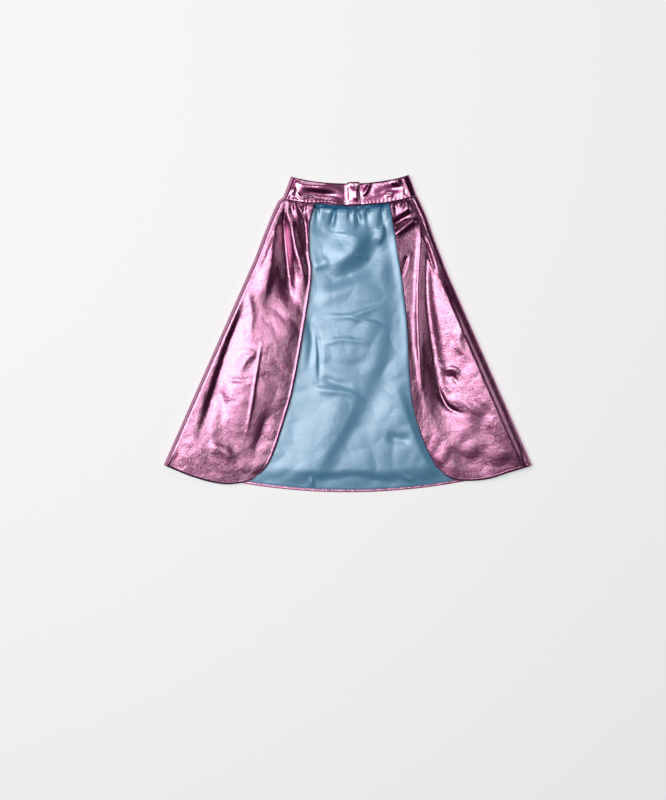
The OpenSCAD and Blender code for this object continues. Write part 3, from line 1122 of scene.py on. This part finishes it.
def area_light(name, position, size, radiance):
    """A softbox that faces the object."""
    data = bpy.data.lights.new(name, "AREA")
    data.shape = "RECTANGLE"
    data.size, data.size_y = size
    data.energy = radiance * math.pi * size[0] * size[1]
    light = bpy.data.objects.new(name, data)
    light.location = position
    light.rotation_euler = (-Vector(position)).to_track_quat("-Z", "Y").to_euler()
    bpy.context.scene.collection.objects.link(light)


FLOOR_HALF = 6.0


def build_floor():
    corners = [(-1, -1), (1, -1), (1, 1), (-1, 1)]
    mesh = bpy.data.meshes.new("floor")
    mesh.from_pydata([(FLOOR_HALF * x, FLOOR_HALF * y, 0) for x, y in corners], [], [(0, 1, 2, 3)])
    floor = bpy.data.objects.new("floor", mesh)
    floor.location.z = -0.0002
    bpy.context.scene.collection.objects.link(floor)
    white = Nodes("floor_white")
    white.set(base_color=(0.9, 0.9, 0.9, 1), roughness=0.9)
    white.set(emission_color=(1, 1, 1, 1), emission_strength=FLOOR_GLOW)
    mesh.materials.append(white.material)


def build_room():
    world = bpy.data.worlds.new("world")
    world.use_nodes = True
    tree = world.node_tree
    direction = tree.nodes.new("ShaderNodeTexCoord")
    split = tree.nodes.new("ShaderNodeSeparateXYZ")
    ramp = tree.nodes.new("ShaderNodeValToRGB")
    ramp.color_ramp.interpolation = "EASE"
    while len(ramp.color_ramp.elements) < len(ROOM):
        ramp.color_ramp.elements.new(0.5)
    for element, (at, level) in zip(ramp.color_ramp.elements, ROOM):
        element.position, element.color = at, (*grey(level), 1)
    tree.links.new(direction.outputs["Generated"], split.inputs[0])
    tree.links.new(split.outputs["Z"], ramp.inputs["Fac"])
    tree.links.new(ramp.outputs["Color"], tree.nodes["Background"].inputs["Color"])
    bpy.context.scene.world = world
    bpy.context.scene.view_settings.view_transform = "Standard"


# ---------------------------------------------------------------- put it together

build_camera()
build_floor()
build_room()
for softbox in SOFTBOXES:
    area_light(*softbox)

# Noise of the matt materials
FELT_GRAIN, TAPE_GRAIN = (2500, 4, 0.7), (1800, 3, 0.6)
MATERIALS = {
    "foil_skirt": foil_material("foil_skirt", (0.45, 0.034, 0.23), 0.31, 0.9, 0.8),
    "satin_lining": satin_material("satin_lining", (0.17, 0.52, 0.84), 0.48, 1.0),
    "neck_binding": satin_material("neck_binding", (0.02, 0.24, 0.52), 0.42, 0.35),
    "foil_collar": foil_material("foil_collar", (0.46, 0.040, 0.24), 0.27, 0.22, 0.3),
    "interfacing": matt_material("interfacing", (0.85, 0.85, 0.83), 0.95, FELT_GRAIN, 0.85),
    "thread_pink": thread_material("thread_pink", (0.55, 0.16, 0.38)),
    "thread_blue": thread_material("thread_blue", (0.15, 0.40, 0.60)),
    "hook_tape": matt_material("hook_tape", (0.80, 0.80, 0.83), 0.35, TAPE_GRAIN, 0.8),
    "loop_tape": matt_material("loop_tape", (0.83, 0.83, 0.86), 0.8, TAPE_GRAIN, 0.8),
}


def place(obj, slot, nodes, body, cut=None, held="laid", rests_on=()):
    """Gives a piece its material, parents it to its body, and hides the CAD nodes that it stands for. A
    piece that stands between two bodies only has its placing baked in. The flat cut, how it is held and
    what it rests on are not used."""
    obj.data.materials.append(MATERIALS[slot])
    if isinstance(body, str):
        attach(obj, body)
    else:
        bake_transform(obj)
    if nodes:
        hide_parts(*nodes)


def place_stitches(name, paths, radius, slot, node, body):
    """Sews a row of stitches, as tubes along these paths."""
    place(tubes_mesh(name, paths, radius), slot, [node], body)


def across_fold(side):
    """The two bodies that a side fold joins, and the stretch over which cloth turns. It leans
    inward, so that the low inner part of a front stays with the front."""
    inward = Vector((-side * SIDE_COS, -SIDE_SIN, 0))
    lean = (inward * 0.25 + Vector((0, 0, 1))).normalized() * 3.5 * MM
    axis = Vector((side * CORNER.x, CORNER.y, CORNER.z)) * MM
    return "back", f"{SIDE_NAMES[side]}_front", axis - lean, axis + lean


TAB_PEEL = ("left_front", "closure_tab", Vector((TAB_FROM, 0, 0)) * MM, Vector((0.5, 0, 0)) * MM)
BAND_LAYERS = [("outer", "foil_collar"), ("interfacing", "interfacing"), ("facing", "foil_collar")]


def place_band(pieces, node_start, grid, body, held, rests_on, stiff_from=1):
    """Places the three layers of one part of the collar. Interfacing that starts beyond a side
    fold rides on the front alone."""
    for piece, (layer, slot) in zip(pieces, BAND_LAYERS):
        turned = (0.0, OUTER_TURNED) if layer == "outer" else (0.0, 0.0)
        cut, where = flat_cut(grid, 0.0, turned), body
        if layer == "interfacing":
            cut = flat_cut(stiffened(grid, stiff_from))
            where = body[1] if stiff_from == TURN_POINTS else body
        place(piece, slot, [f"{node_start}_{layer}"], where, cut, held, rests_on)


def place_binding(name, grid, body):
    strip = binding_strip(f"{name}_neck_binding_strip", grid)
    cut = flat_cut(grid, 0.0, (0.0, 2 * math.pi * BINDING_ROLL))
    below = [f"{name}_lining_cloth"]
    place(strip, "neck_binding", [f"{name}_neck_binding"], body, cut, "stretched", below)


def assemble_front(side):
    name = SIDE_NAMES[side]
    body = across_fold(side)
    shell, lining, cut = build_front(side)
    place(shell, "foil_skirt", [f"{name}_shell"], body, cut, "gathered", [lining])
    place(lining, "satin_lining", [f"{name}_lining"], body, cut, "gathered", ["back_lining_cloth"])
    band = band_surface(side)
    sides = [("top",), ("bottom",)] if side == LEFT else [("top", "right", "bottom_back")]
    below = ["right_collar_outer_cloth"] if side == LEFT else ["back_collar_facing_cloth"]
    layers = band_layers(f"{name}_collar", band, sides, 1, TURN_POINTS)
    place_band(layers, f"{name}_collar", band, body, "folded", below, TURN_POINTS)
    place_binding(name, binding_surface(side), f"{name}_front")
    row = (BAND_ROWS - 1) * (1 - STITCH_UP / BAND_H)
    line = surface_line(band, row, TURN_POINTS + 2)
    if side == RIGHT:
        line = line[line[:, 0] > TAB_TO + 1]
    place_stitches(f"{name}_neck_stitches", stitches(line), 0.2, "thread_pink",
                   f"{name}_neck_stitching", f"{name}_front")


def assemble_back():
    lining, cut = build_back_lining()
    shell = build_back_shell()
    place(shell, "foil_skirt", ["back_shell"], "back", cut, "laid", ["floor"])
    place(lining, "satin_lining", ["back_lining"], "back", cut, "gathered", [shell])
    band = back_band_surface()
    layers = band_layers("back_collar", band, [("top",), ("bottom",)], -1)
    place_band(layers, "back_collar", band, "back", "laid", ["floor"])
    binding = binding_surface(0)
    place_binding("back", binding, "back")
    line = surface_line(binding, BINDING_STITCH_ROW, 6, -6, 0.2)
    place_stitches("back_binding_stitches", stitches(line), 0.2, "thread_blue",
                   "back_binding_stitching", "back")
    line = surface_line(band, BAND_ROWS - 3, 4, -4, 2 * LAYER_GAP + 0.25)
    place_stitches("back_neck_stitches", stitches(line), 0.27, "thread_pink",
                   "back_neck_stitching", "back")


def assemble_closure():
    tab = tab_surface()
    layers = band_layers("tab", tab, [("top", "right", "bottom_back")])
    place_band(layers, "tab", tab, TAB_PEEL, "laid", ["hook_pad"])
    box = stitched_box(tab, (0.6, 15.6), (PATCH_LOW + 0.2, PATCH_TOP - 0.2), 0.3)
    place_stitches("tab_box_stitches", box, 0.3, "thread_pink", "tab_box_stitching", "closure_tab")

    loop_pad, loop_grid = patch_mesh("loop_pad", *LOOP_PAD)
    cut, below = flat_cut(loop_grid), ["right_collar_outer_cloth"]
    place(loop_pad, "loop_tape", ["loop_patch"], "right_front", cut, "laid", below)
    pile = tubes_mesh("loop_pile", hooks(loop_grid + [0, 0, 0.35], 0.35, 0.5), 0.1, 4)
    place(pile, "loop_tape", [], "right_front")
    box = stitched_box(loop_grid, (1.5, 14.5), (PATCH_LOW + 1.5, PATCH_TOP - 1.5), 0.45)
    place_stitches("loop_patch_stitches", box, 0.25, "thread_pink", "loop_patch_stitching",
                   "right_front")

    hook_pad, hook_grid = patch_mesh("hook_pad", *HOOK_PAD)
    cut = flat_cut(hook_grid)
    place(hook_pad, "hook_tape", ["hook_patch"], "closure_tab", cut, "laid", [loop_pad])
    bristles = tubes_mesh("hook_bristles", hooks(hook_grid - [0, 0, 0.3], -0.4, 0.4), 0.1, 4)
    place(bristles, "hook_tape", [], "closure_tab")


assemble_front(LEFT)
assemble_front(RIGHT)
assemble_back()
assemble_closure()
